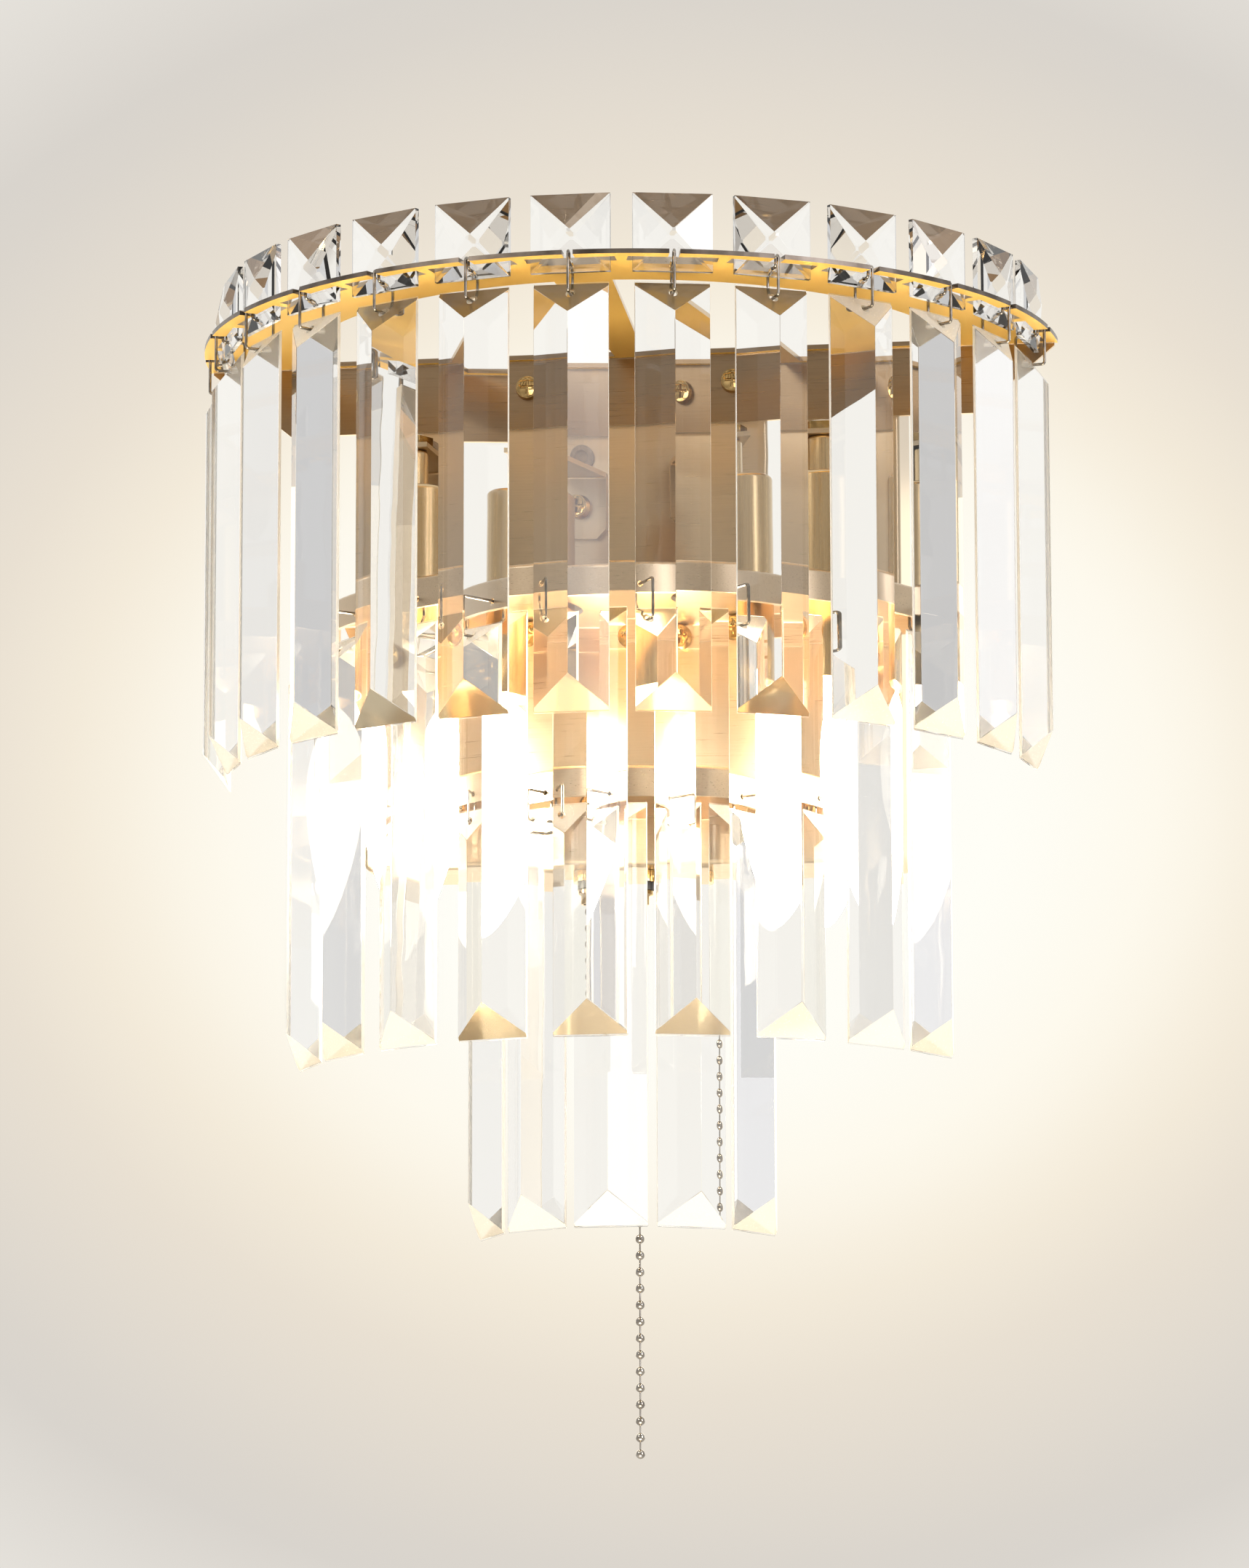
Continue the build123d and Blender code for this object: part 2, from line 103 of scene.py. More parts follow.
wideSpan = (0.3, 0.7)  # nearly all values of a noise texture lie in here
tightSpan = (0.35, 0.65)  # for a little more contrast


def makeBrushedBrass(name, settings):
    # Satin brass plate, brushed along one axis: the hair lines stretch highlights and keep it from mirroring
    material, tree, shader = newMaterial(name, {"Metallic": settings["metallic"]})
    place = addNode(tree, "ShaderNodeTexCoord")
    lineScale = 1.0 / settings["lineWidth"]  # drawn about twice as coarse as real hair lines, to show at all
    stretch = [lineScale if axis != settings["along"] else 1.0 / settings["lineLength"] for axis in "XYZ"]
    turned = addNode(tree, "ShaderNodeMapping", {"Scale": stretch}, links={"Vector": place.outputs["Object"]})
    lines = addNode(tree, "ShaderNodeTexNoise", {"Scale": 1.0, "Detail": 3.0},
                    links={"Vector": turned.outputs[0]})
    clouds = addNode(tree, "ShaderNodeTexNoise", {"Scale": 1.0 / settings["cloudSize"], "Detail": 2.0},
                     links={"Vector": place.outputs["Object"]})
    tone = addNode(tree, "ShaderNodeMix", {"Factor": settings["cloudShare"]}, {"data_type": "FLOAT"},
                   {"A": lines.outputs["Fac"], "B": clouds.outputs["Fac"]})
    ramp = setRamp(addNode(tree, "ShaderNodeValToRGB", links={"Fac": tone.outputs[0]}),
                   twoTones(settings, wideSpan))
    tree.links.new(ramp.outputs[0], shader.inputs["Base Color"])
    gloss = addNode(tree, "ShaderNodeMapRange", {
        "From Min": wideSpan[0], "From Max": wideSpan[1],
        "To Min": settings["roughness"] - settings["smoother"],
        "To Max": settings["roughness"] + settings["rougher"]}, links={"Value": lines.outputs["Fac"]})
    tree.links.new(gloss.outputs[0], shader.inputs["Roughness"])
    bump = addNode(tree, "ShaderNodeBump", {"Strength": settings["bump"], "Distance": settings["lineDepth"]},
                   links={"Height": lines.outputs["Fac"]})
    tree.links.new(bump.outputs[0], shader.inputs["Normal"])
    return material


def makeCrystal(name, settings):
    # Cut and polished lead crystal: high index, so facets flash and edges catch light
    material, tree, shader = newMaterial(name, {
        "Base Color": linearColour(settings["glass"]), "Roughness": 0.0, "IOR": settings["index"],
        "Transmission Weight": 1.0})
    place = addNode(tree, "ShaderNodeTexCoord")
    waves = addNode(tree, "ShaderNodeTexNoise", {"Scale": 1.0 / settings["waveSize"], "Detail": 1.0},
                    links={"Vector": place.outputs["Object"]})
    bump = addNode(tree, "ShaderNodeBump", {"Strength": settings["bump"], "Distance": settings["waveDepth"]},
                   links={"Height": waves.outputs["Fac"]})
    tree.links.new(bump.outputs[0], shader.inputs["Normal"])  # the faint waviness that polishing leaves
    return material


def makeGroundGlass(name, settings):
    # Sawn, drilled or honed glass: fine grit scatters what it lets through, so it reads as soft light
    material, tree, shader = newMaterial(name, {
        "Base Color": linearColour(settings["glass"]), "IOR": settings["index"],
        "Transmission Weight": settings["clear"]})
    place = addNode(tree, "ShaderNodeTexCoord")
    grit = addNode(tree, "ShaderNodeTexNoise", {"Scale": 1.0 / settings["gritSize"], "Detail": 2.0},
                   links={"Vector": place.outputs["Object"]})
    gloss = addNode(tree, "ShaderNodeMapRange", {
        "To Min": settings["roughness"] - settings["spread"],
        "To Max": settings["roughness"] + settings["spread"]}, links={"Value": grit.outputs["Fac"]})
    tree.links.new(gloss.outputs[0], shader.inputs["Roughness"])
    return material


def makePlatedMetal(name, settings):
    # Bright electroplate over a turned or drawn part: a clear mirror with fine handling marks
    material, tree, shader = newMaterial(name, {"Metallic": 1.0})
    place = addNode(tree, "ShaderNodeTexCoord")
    marks = addNode(tree, "ShaderNodeTexNoise", {"Scale": 1.0 / settings["markSize"], "Detail": 4.0},
                    links={"Vector": place.outputs["Object"]})
    ramp = setRamp(addNode(tree, "ShaderNodeValToRGB", links={"Fac": marks.outputs["Fac"]}),
                   twoTones(settings, tightSpan))
    tree.links.new(ramp.outputs[0], shader.inputs["Base Color"])
    gloss = addNode(tree, "ShaderNodeMapRange", {
        "To Min": settings["roughness"] * settings["cleanest"],
        "To Max": settings["roughness"] * settings["dullest"]}, links={"Value": marks.outputs["Fac"]})
    tree.links.new(gloss.outputs[0], shader.inputs["Roughness"])
    return material


def makeMoulding(name, settings):
    # Moulded thermoset or rubber: an even, slightly grained surface with a soft sheen
    material, tree, shader = newMaterial(name, {"Roughness": settings["roughness"], "IOR": 1.5})
    place = addNode(tree, "ShaderNodeTexCoord")
    grain = addNode(tree, "ShaderNodeTexNoise", {"Scale": 1.0 / settings["grainSize"], "Detail": 2.0},
                    links={"Vector": place.outputs["Object"]})
    ramp = setRamp(addNode(tree, "ShaderNodeValToRGB", links={"Fac": grain.outputs["Fac"]}),
                   twoTones(settings, tightSpan))
    tree.links.new(ramp.outputs[0], shader.inputs["Base Color"])
    bump = addNode(tree, "ShaderNodeBump", {"Strength": settings["bump"], "Distance": settings["grainDepth"]},
                   links={"Height": grain.outputs["Fac"]})
    tree.links.new(bump.outputs[0], shader.inputs["Normal"])
    return material


def makeBulbGlass(name, settings):
    # Opal glass of a lit candle bulb: warm white, brighter at its belly than at the neck
    material, tree, shader = newMaterial(name, {
        "Roughness": settings["roughness"], "IOR": 1.5, "Base Color": linearColour(settings["glass"]),
        "Emission Color": linearColour(settings["light"])})
    place = addNode(tree, "ShaderNodeTexCoord")
    height = addNode(tree, "ShaderNodeSeparateXYZ", links={"Vector": place.outputs["Object"]})
    glow = addNode(tree, "ShaderNodeMapRange", {
        "From Min": settings["top"], "From Max": settings["belly"], "To Min": settings["neckGlow"],
        "To Max": settings["bellyGlow"]}, links={"Value": height.outputs["Z"]})
    tree.links.new(glow.outputs[0], shader.inputs["Emission Strength"])
    return material


brass = {"light": "#D7C3A6", "dark": "#CCB89B", "roughness": 0.3, "smoother": 0.03, "rougher": 0.04,
         "metallic": 1.0, "lineWidth": 0.00025, "lineLength": 0.02, "cloudSize": 0.05, "cloudShare": 0.4,
         "bump": 0.02, "lineDepth": 0.0001, "along": "X"}
panBrass = makeBrushedBrass("brushed_brass_plate_across", brass)  # soft, wide reflections
paintedGleamBrass = makeBrushedBrass("brushed_brass_plate_band_painted_gleam", dict(  # a lighter copy of the brass: painted gleam on the folded bands
    brass, light="#E4D1B7", dark="#D6C0A3"))
paintedGlowBrass = makeBrushedBrass("brushed_brass_plate_underside_painted_glow", dict(  # painted golden glow of the bulbs' light from below; rougher and less metallic
    brass, roughness=0.5, metallic=0.4, light="#FFD878", dark="#FFCC64"))
paintedShadeTopBrass = makeBrushedBrass("brushed_brass_plate_top_painted_shade", dict(  # painted shade: a deep tone under the squares' facets
    brass, light="#94703F", dark="#845F34"))
paintedShadeFlangeBrass = makeBrushedBrass("brushed_brass_plate_flange_painted_shade", dict(  # painted shade: the darker strip at the back
    brass, light="#9E876B", dark="#937C61"))
tubeBrass = makeBrushedBrass("brushed_brass_tube", dict(  # long upright highlights on the turned lamp parts
    brass, along="Z", roughness=0.22, light="#E0C79E", dark="#D2B587"))

crystal = {"glass": "#FDFCFA", "index": 1.55, "bump": 0.05, "waveDepth": 0.0004,
           "waveSize": 1 / 60}  # waves of 17 mm
crystalGlass = makeCrystal("polished_lead_crystal", crystal)  # bends what is behind the prisms
squareGlass = makeCrystal("heavy_lead_crystal", dict(crystal, index=1.68))  # facets that mirror inside

sawnEdge = {"glass": "#FFFCF4", "index": 1.55, "roughness": 0.45, "spread": 0.15, "clear": 0.55,
            "gritSize": 1 / 3000}  # a third of a millimetre, coarser than real grit, to show at all
groundGlass = makeGroundGlass("ground_crystal_edge", sawnEdge)  # bright lines along edges and in the holes
paintedBrownBevelGlass = makeGroundGlass("honed_crystal_bevel_painted_brown", dict(  # warm brown triangles in front of the brass, painted brown for the brass seen through them
    sawnEdge, glass="#9A8763", roughness=0.16, clear=0.9))
paintedGlowBevelGlass = makeGroundGlass("frosted_crystal_bevel_painted_glow", dict(  # cream triangles in front of the wall, painted cream for its glow seen through them
    sawnEdge, glass="#FAF3E4", roughness=0.22, clear=0.5))

plating = {"cleanest": 0.7, "dullest": 1.4}  # shares of the roughness, between the handling marks and on them
paintedShadeChromeWire = makePlatedMetal("chrome_plated_wire_painted_shade", dict(  # a thin line with a bright and a dark side; its darker, browner tone is painted shade
    plating, light="#B4ADA4", dark="#7C746A", roughness=0.1, markSize=0.004))
screwBrass = makePlatedMetal("brass_plated_screw", dict(  # small sharp glints round the cross recess
    plating, light="#DDBB80", dark="#A78958", roughness=0.06, markSize=0.003))
nickelChain = makePlatedMetal("nickel_plated_bead", dict(  # a glint on every bead
    plating, light="#BEB9B1", dark="#99928A", roughness=0.1, markSize=0.004))
zincSteel = makePlatedMetal("zinc_plated_steel", dict(  # dull grey, a little cloudy
    plating, light="#B9BDC1", dark="#9EA3A8", roughness=0.35, markSize=0.012))
edgeSteel = makePlatedMetal("sheared_plate_edge", dict(  # a dark line round the top plate
    plating, light="#8C8279", dark="#61584F", roughness=0.3, markSize=0.01))
capMetal = makePlatedMetal("nickel_screw_cap", dict(  # plain pale metal, hidden in the holders
    plating, light="#C9C8C6", dark="#AAA8A5", roughness=0.25, markSize=0.005))

moulded = {"bump": 0.15, "grainDepth": 0.0002,
           "grainSize": 1 / 900}  # grains of about 1 mm, coarser than real ones, to show at all
whiteMoulding = makeMoulding("white_thermoset", dict(  # warm white, like glazed china
    moulded, light="#EEEBE2", dark="#E4E0D6", roughness=0.45))
blackMoulding = makeMoulding("black_thermoset", dict(  # near black, with a dull sheen
    moulded, light="#2A2A2B", dark="#202021", roughness=0.4))
tanRubber = makeMoulding("tan_rubber", dict(  # matt, close to the brass round it
    moulded, light="#947B60", dark="#846C52", roughness=0.6))
bulbGlass = makeBulbGlass("opal_candle_bulb", {  # the white glare between the prisms
    "glass": "#FFF6E6", "light": "#FFF7E6", "roughness": 0.3, "top": -0.03, "belly": -0.06, "neckGlow": 40.0,
    "bellyGlow": 120.0})
print("materials made")


# pieces copied from the frame and given real edges

mergeDistance = 2e-6  # metres between points that are one
flatAngle = 0.5  # degrees between triangles of one flat


def nodeMesh(nodeName, joinFlats):
    # the node's triangles merged; flats without a window in them may be joined into one face each
    mesh = frame["nodes"][nodeName].data.copy()
    work = bmesh.new()
    work.from_mesh(mesh)
    bmesh.ops.remove_doubles(work, verts=work.verts, dist=mergeDistance)
    if joinFlats:
        bmesh.ops.dissolve_limit(work, angle_limit=math.radians(flatAngle), verts=work.verts,
                                 edges=work.edges)
    work.to_mesh(mesh)
    work.free()
    return mesh


def finishNode(nodeName, materials, settings, pick=None):
    # a copy of the node whose sharp edges are rounded off as the real part's are
    mesh = nodeMesh(nodeName, settings.get("joinFlats", False))
    mesh.materials.clear()
    for material in materials:
        mesh.materials.append(material)
    piece = bpy.data.objects.new(nodeName + "_finished", mesh)
    bpy.context.scene.collection.objects.link(piece)
    if pick is not None:
        for polygon in mesh.polygons:
            polygon.material_index = pick(polygon)
    mesh.shade_smooth()
    mesh.set_sharp_from_angle(angle=math.radians(settings["smooth"]))
    if "edge" in settings:
        bevel = piece.modifiers.new("edge", "BEVEL")
        bevel.width = settings["edge"]
        bevel.segments = settings["segments"]
        bevel.limit_method = "ANGLE"
        bevel.angle_limit = math.radians(settings["limit"])
        bevel.miter_outer = "MITER_ARC"
        bevel.use_clamp_overlap = True
    if "flatWeight" in settings:
        flats = piece.modifiers.new("flats", "WEIGHTED_NORMAL")  # flats stay flat beside their rounded folds
        flats.weight = settings["flatWeight"]
        flats.keep_sharp = True
    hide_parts(nodeName)
    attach(piece, nodeBody[nodeName])
    return piece


def dressNode(nodeName, material):
    # a hidden node keeps its own mesh and only gets its finish
    node = frame["nodes"][nodeName]
    node.data.materials.clear()
    node.data.materials.append(material)


# edge is the rounding in metres, at corners sharper than limit; corners over smooth stay crisp in the shading
prismEdge = {"edge": 0.0003, "segments": 1, "limit": 20, "smooth": 10, "joinFlats": True}
squareEdge = {"edge": 0.00022, "segments": 1, "limit": 12, "smooth": 8, "joinFlats": True}
sheetEdge = {"edge": 0.00018, "segments": 2, "limit": 35, "smooth": 30, "flatWeight": 90}
smallEdge = {"edge": 0.00012, "segments": 1, "limit": 35, "smooth": 30}
roundOnly = {"smooth": 60}

# the first entry gives per tier how far from the middle the bevels still have brass behind them; there they
# are painted brown for that brass, further out painted cream for the wall's glow. A face stands square to the
# flat back, so is sawn or drilled, when the cosine between them is under square, and it is an end bevel when
# the z of its normal is over slope
prisms = {"paintedBrownReach": {"tier1": 0.062, "tier2": 0.035, "tier3": 0.0}, "square": 0.2, "slope": 0.25}
prismNames = sorted(name for name in frame["nodes"] if "_prism_" in name)
for name in prismNames:
    fromMiddle = abs(sum(corner.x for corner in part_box(name)) / 2)
    tier = name.split("_")[0]
    # painted brown near the middle, painted cream glow further out
    paintedBevel = paintedBrownBevelGlass if fromMiddle < prisms["paintedBrownReach"][tier] else paintedGlowBevelGlass
    prism = finishNode(name, [crystalGlass, groundGlass, paintedBevel], prismEdge)
    back = max(prism.data.polygons, key=lambda polygon: polygon.area).normal.copy()  # the largest face
    for polygon in prism.data.polygons:
        sawn = abs(polygon.normal.dot(back)) < prisms["square"]
        polygon.material_index = 1 if sawn else 2 if abs(polygon.normal.z) > prisms["slope"] else 0
finishNode("square_crystals", [squareGlass], squareEdge)
print("crystals finished:", len(prismNames))

# where the top plate's faces are, in metres; facing and upright are parts of a normal's length
plateZones = {"topTier": 0.079, "flangeBottom": 0.05, "flangeFront": -0.0335, "arcMiddle": -0.027,
              "rimStart": -0.032, "rimRadius": 0.13, "facing": 0.5, "upright": 0.3}


def plateFace(polygon):
    # on the top plate 1 is the underside, 2 the sheared outer rim, 3 the upper face, 4 the flange; else 0
    place, normal, zones = polygon.center, polygon.normal, plateZones
    if place.z > zones["flangeBottom"] and place.y > zones["flangeFront"] and normal.y < -zones["facing"]:
        return 4
    onTop = place.z > zones["topTier"]
    if abs(normal.z) > zones["facing"]:
        return 0 if not onTop else 1 if normal.z < 0 else 3
    fromArcMiddle = math.hypot(place.x, place.y - zones["arcMiddle"])
    outside = place.y < zones["rimStart"] and fromArcMiddle > zones["rimRadius"]
    return 2 if onTop and outside and abs(normal.z) < zones["upright"] else 0


# bands and the lower plates take the painted gleam, the top plate's underside the painted glow, and its upper
# face and flange the painted shade
for name in ("tier1_plate", "tier2_plate", "tier3_plate"):
    finishNode(name, [paintedGleamBrass, paintedGlowBrass, edgeSteel, paintedShadeTopBrass, paintedShadeFlangeBrass], sheetEdge, plateFace)
finishNode("backplate_pan", [panBrass], sheetEdge)
for side in ("left", "right"):
    finishNode("lamp_bracket_" + side, [panBrass], sheetEdge)
    finishNode("lamp_cup_" + side, [tubeBrass], smallEdge)
    finishNode("lamp_cover_" + side, [tubeBrass], smallEdge)
    finishNode("bulb_" + side, [bulbGlass], roundOnly)
    dressNode("lampholder_" + side, whiteMoulding)
for name in ("tier1_screws", "tier2_screws", "tier3_screws", "side_screws", "lamp_bracket_screws",
             "switch_ring", "switch_nozzle", "lamp_nuts"):
    finishNode(name, [screwBrass], smallEdge)
for name in ("tier1_wires", "tier2_hooks", "tier3_hooks"):
    finishNode(name, [paintedShadeChromeWire], roundOnly)
dressNode("wall_bracket", zincSteel)
dressNode("terminal_block", whiteMoulding)
dressNode("switch_body", blackMoulding)
dressNode("switch_actuator", capMetal)
dressNode("bulb_caps", capMetal)
print("metal finished")


# bushes that close the two wire holes in the pan

def turnedFaces(rows, around):
    # faces of a shape turned about an axis: point (row, step) has number row * around + step, and the two
    # poles come last
    row, step = np.meshgrid(np.arange(rows - 1), np.arange(around), indexing="ij")
    following = (step + 1) % around
    quads = np.stack([row * around + step, (row + 1) * around + step, (row + 1) * around + following,
                      row * around + following], -1).reshape(-1, 4)
    rim = np.arange(around)
    last = (rows - 1) * around
    firstFan = np.stack([np.full(around, rows * around), rim, (rim + 1) % around], -1)
    lastFan = np.stack([np.full(around, rows * around + 1), last + (rim + 1) % around, last + rim], -1)
    return quads, np.vstack([firstFan, lastFan])


# (radius, depth) from the front pole to the back pole: dished middle, front lip, neck in the hole, rear lip
bush = {"x": 0.063, "z": 0.052, "around": 36, "smooth": 35,
        "profile": [(0, -0.0004), (0.0019, -0.0004), (0.0024, -0.0009), (0.0036, -0.0009), (0.0041, -0.0005),
                    (0.0041, 0), (0.0029, 0), (0.0029, 0.0013), (0.0039, 0.0013), (0.0039, 0.0019),
                    (0.0022, 0.0019), (0, 0.0008)]}


def makeBush(settings, x, front):
    # the profile turned about Y: point = (x + r cos angle, front + depth, z + r sin angle), closed at its
    # two poles
    profile = np.array(settings["profile"])
    angles = np.linspace(0, 2 * np.pi, settings["around"], endpoint=False)
    radius, depth = profile[1:-1, 0], profile[1:-1, 1]
    rings = np.stack([x + np.outer(radius, np.cos(angles)), front + np.outer(depth, np.ones_like(angles)),
                      settings["z"] + np.outer(radius, np.sin(angles))], -1).reshape(-1, 3)
    poles = np.array([[x, front + profile[0, 1], settings["z"]], [x, front + profile[-1, 1], settings["z"]]])
    quads, fans = turnedFaces(len(radius), len(angles))
    mesh = bpy.data.meshes.new("wire_bush")
    mesh.from_pydata(np.vstack([rings, poles]).tolist(), [], quads.tolist() + fans.tolist())
    mesh.shade_smooth()
    mesh.set_sharp_from_angle(angle=math.radians(settings["smooth"]))
    return mesh


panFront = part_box("backplate_pan")[0].y
for side, x in (("left", -bush["x"]), ("right", bush["x"])):
    piece = bpy.data.objects.new("wire_bush_" + side, makeBush(bush, x, panFront))
    bpy.context.scene.collection.objects.link(piece)
    piece.data.materials.append(tanRubber)
    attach(piece, nodeBody["backplate_pan"])
print("bushes made")


# ball chain

chain = {"top": -0.0880, "bottom": -0.2580, "beadRadius": 0.00145, "pitch": 0.00502, "wire": 0.0003,
         "aroundBead": 20, "downBead": 14, "wireStops": (-0.088, -0.130, -0.173, -0.215, -0.258)}


def makeBeads(settings, x, y):
    # each bead is a ball: radius times (sin down cos around, sin down sin around, cos down)
    around = np.linspace(0, 2 * np.pi, settings["aroundBead"], endpoint=False)
    down = np.linspace(0, np.pi, settings["downBead"] + 2)[1:-1]
    rings = np.stack([np.outer(np.sin(down), np.cos(around)), np.outer(np.sin(down), np.sin(around)),
                      np.outer(np.cos(down), np.ones_like(around))], -1).reshape(-1, 3)
    ball = np.vstack([rings, [[0, 0, 1]], [[0, 0, -1]]]) * settings["beadRadius"]
    count = int(round((settings["top"] - settings["bottom"]) / settings["pitch"]))
    heights = settings["bottom"] + settings["beadRadius"] + settings["pitch"] * np.arange(count)
    middles = np.stack([np.full(count, x), np.full(count, y), heights], -1)
    points = (middles[:, None] + ball).reshape(-1, 3)
    shifts = (np.arange(count) * len(ball))[:, None, None]
    quads, fans = turnedFaces(len(down), len(around))
    mesh = bpy.data.meshes.new("pull_chain_beads")
    mesh.from_pydata(points.tolist(), [], (quads + shifts).reshape(-1, 4).tolist()
                     + (fans + shifts).reshape(-1, 3).tolist())
    mesh.shade_smooth()
    return mesh


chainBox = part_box("pull_chain")
chainX = (chainBox[0].x + chainBox[1].x) / 2
chainY = (chainBox[0].y + chainBox[1].y) / 2
beads = bpy.data.objects.new("pull_chain_beads", makeBeads(chain, chainX, chainY))
bpy.context.scene.collection.objects.link(beads)
beads.data.materials.append(nickelChain)
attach(beads, "pull_switch")

wireCurve = bpy.data.curves.new("pull_chain_wire", "CURVE")
wireCurve.dimensions = "3D"
wireCurve.bevel_depth = chain["wire"]
wireCurve.bevel_resolution = 2
wireCurve.use_fill_caps = True
line = wireCurve.splines.new("NURBS")
wirePoints = [(chainX, chainY, z) for z in chain["wireStops"]]
line.points.add(len(wirePoints) - 1)
for point, place in zip(line.points, wirePoints):
    point.co = (*place, 1.0)
line.order_u = 3
line.use_endpoint_u = True
chainWire = bpy.data.objects.new("pull_chain_wire", wireCurve)
bpy.context.scene.collection.objects.link(chainWire)
wireCurve.materials.append(nickelChain)
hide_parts("pull_chain")
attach(chainWire, "pull_switch")
print("chain made")


# floor, camera, world and lamps

studioFloor = {"reach": 40.0, "height": -1.6, "paint": "#E9E6E1", "roughness": 0.8}
floorPaint = newMaterial("pale_floor_paint", {  # matt wall paint: plain, with no gloss of its own
    "Base Color": linearColour(studioFloor["paint"]), "Roughness": studioFloor["roughness"]})[0]
floorMesh = bpy.data.meshes.new("floor")
floorMesh.from_pydata([(studioFloor["reach"] * x, studioFloor["reach"] * y, studioFloor["height"])
                       for x, y in ((-1, -1), (1, -1), (1, 1), (-1, 1))], [], [(0, 1, 2, 3)])
floorMesh.materials.append(floorPaint)
floor = bpy.data.objects.new("floor", floorMesh)
bpy.context.scene.collection.objects.link(floor)

# the camera stands in metres and turns in radians: yaw about Z, pitch up, roll about its own line of sight
view = {"place": (0.2844, -1.9974, -0.4027), "yaw": -0.1447, "pitch": 0.1739, "roll": -0.0020, "lens": 151.76,
        "sensor": 36}
yaw, pitch, roll = view["yaw"], view["pitch"], view["roll"]
forward = Vector((math.sin(yaw) * math.cos(pitch), math.cos(yaw) * math.cos(pitch), math.sin(pitch)))
right = Vector((math.cos(yaw), -math.sin(yaw), 0))
upwards = right.cross(forward)
cameraRight = math.cos(roll) * right + math.sin(roll) * upwards
cameraUp = math.cos(roll) * upwards - math.sin(roll) * right
cameraData = bpy.data.cameras.new("camera")
cameraData.sensor_width = view["sensor"]
cameraData.lens = view["lens"]
camera = bpy.data.objects.new("camera", cameraData)
bpy.context.scene.collection.objects.link(camera)
turn = Matrix((cameraRight, cameraUp, -forward)).transposed().to_4x4()
camera.matrix_world = Matrix.Translation(view["place"]) @ turn
bpy.context.scene.camera = camera

# what a ray meets past the object: a painted glow of the bulb-lit wall, by the angle in degrees from its
# middle, then blended into above or below as it rises or falls, by the z of its direction between From and To
room = {"paintedGlowMiddle": (0.022, -0.060, -0.061), "flatness": 1.2, "plain": "#E6E3DE",
        "above": "#EFECE7", "aboveFrom": 0.4, "aboveTo": 0.85, "below": "#C9BFB0", "belowFrom": -0.25,
        "belowTo": -0.8,
        "around": [(0, "#FFFEF8"), (2.8, "#FFFEF6"), (4.2, "#FEF9EC"), (5.2, "#F5ECDB"), (6.3, "#E9E0D2"),
                   (8.4, "#D8D3CC"), (13, "#FAF8F2"), (30, "#FFFEFA"), (50, "#F2F1EE"), (75, "#D4D5D7"),
                   (110, "#B9B5B0"), (180, "#B3AEA7")]}
world = bpy.data.worlds.new("studio")
bpy.context.scene.world = world
world.use_nodes = True
tree = world.node_tree
tree.nodes.clear()
direction = addNode(tree, "ShaderNodeTexCoord")
towards = (Vector(room["paintedGlowMiddle"]) - Vector(view["place"])).normalized()
apart = addNode(tree, "ShaderNodeVectorMath", {1: towards}, {"operation": "SUBTRACT"},
                {0: direction.outputs["Generated"]})
flattened = addNode(tree, "ShaderNodeVectorMath", {1: (1, 1, room["flatness"])}, {"operation": "MULTIPLY"},
                    {0: apart.outputs["Vector"]})
chord = addNode(tree, "ShaderNodeVectorMath", options={"operation": "LENGTH"},
                links={0: flattened.outputs["Vector"]})
halfChord = addNode(tree, "ShaderNodeMapRange", {"From Max": 2.0}, links={"Value": chord.outputs["Value"]})
ring = setRamp(addNode(tree, "ShaderNodeValToRGB", links={"Fac": halfChord.outputs[0]}), [
    (math.sin(math.radians(degrees / 2)), linearColour(text)) for degrees, text in room["around"]])
parts = addNode(tree, "ShaderNodeSeparateXYZ", links={"Vector": direction.outputs["Generated"]})
seenColour = ring.outputs[0]
for place in ("above", "below"):
    share = addNode(tree, "ShaderNodeMapRange", {
        "From Min": room[place + "From"], "From Max": room[place + "To"]},
        links={"Value": parts.outputs["Z"]})
    mix = addNode(tree, "ShaderNodeMix", {7: linearColour(room[place])}, {"data_type": "RGBA"},
                  {"Factor": share.outputs[0], 6: seenColour})
    seenColour = mix.outputs[2]
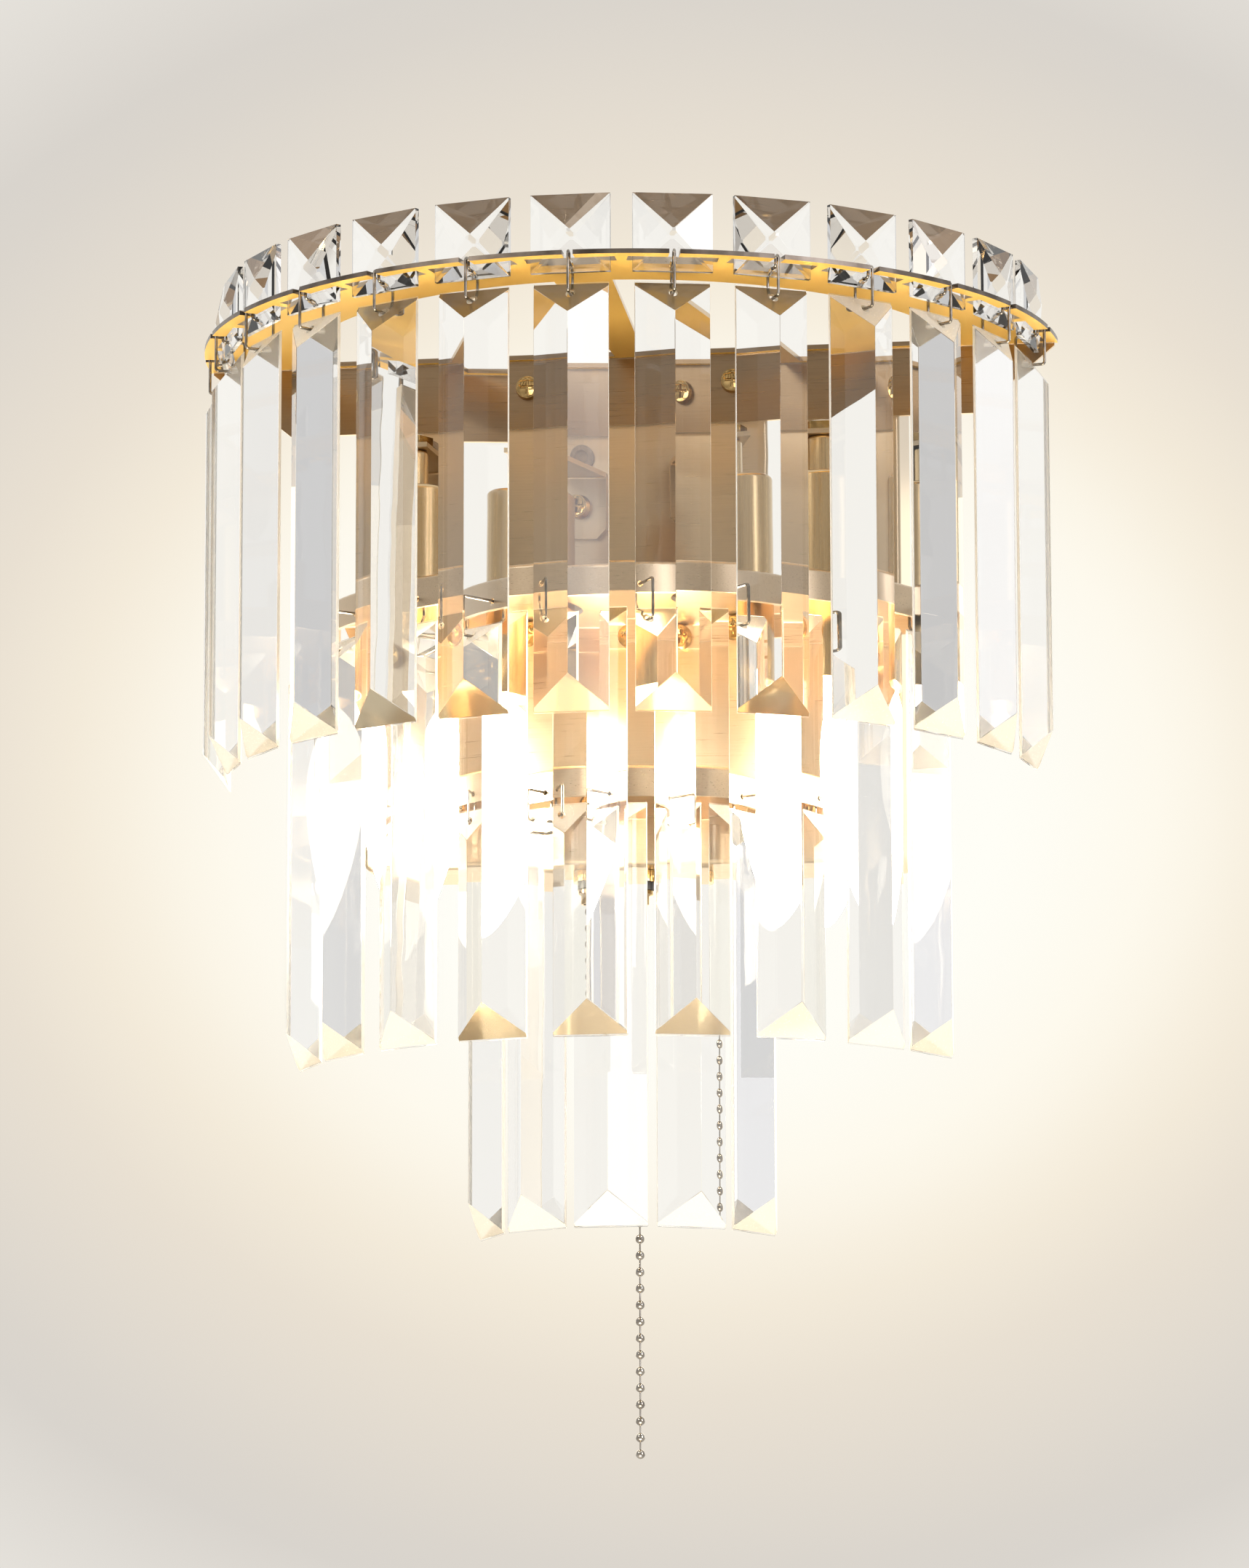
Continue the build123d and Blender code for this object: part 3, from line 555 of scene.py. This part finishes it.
rays = addNode(tree, "ShaderNodeLightPath")  # the camera, metal and glass see the room, the rest plain light
straight = addNode(tree, "ShaderNodeMath", options={"operation": "MAXIMUM"}, links={
    0: rays.outputs["Is Camera Ray"], 1: rays.outputs["Is Transmission Ray"]})
shown = addNode(tree, "ShaderNodeMath", options={"operation": "MAXIMUM"}, links={
    0: straight.outputs[0], 1: rays.outputs["Is Glossy Ray"]})
plain = addNode(tree, "ShaderNodeBackground", {"Color": linearColour(room["plain"])})
seen = addNode(tree, "ShaderNodeBackground", links={"Color": seenColour})
mixed = addNode(tree, "ShaderNodeMixShader", links={
    0: shown.outputs[0], 1: plain.outputs[0], 2: seen.outputs[0]})
addNode(tree, "ShaderNodeOutputWorld", links={"Surface": mixed.outputs[0]})

softboxes = {
    "key_softbox": {"place": (-1.3, -1.7, 1.1), "target": (0, -0.1, -0.05), "size": (1.2, 0.9), "power": 12,
                    "colour": "#FFFAF2"},
    "side_softbox": {"place": (1.7, -1.15, 0.35), "target": (0, -0.1, -0.05), "size": (0.9, 1.5), "power": 15,
                     "colour": "#FBFAFF"},
    "low_softbox": {"place": (0.1, -0.9, -1.3), "target": (0, -0.08, 0.0), "size": (1.0, 0.7), "power": 30,
                    "colour": "#FFE9C4"},
    "wall_softbox": {"place": (-0.07, 0.35, -0.05), "target": (0, -0.1, -0.03), "size": (0.6, 0.36),
                     "power": 0.8, "colour": "#FFF0D0"}}
for name, box in softboxes.items():
    data = bpy.data.lights.new(name, "AREA")
    data.shape = "RECTANGLE"
    data.size, data.size_y = box["size"]
    data.energy = box["power"]
    data.color = linearColour(box["colour"])[:3]
    lamp = bpy.data.objects.new(name, data)
    bpy.context.scene.collection.objects.link(lamp)
    lamp.location = box["place"]
    lamp.rotation_euler = (Vector(box["target"]) - Vector(box["place"])).to_track_quat("-Z", "Y").to_euler()
    lamp.visible_camera = False
    lamp.visible_transmission = False  # the crystals reflect the boxes, and show only the room through them

bpy.context.scene.view_settings.view_transform = "Standard"
print("stage set")
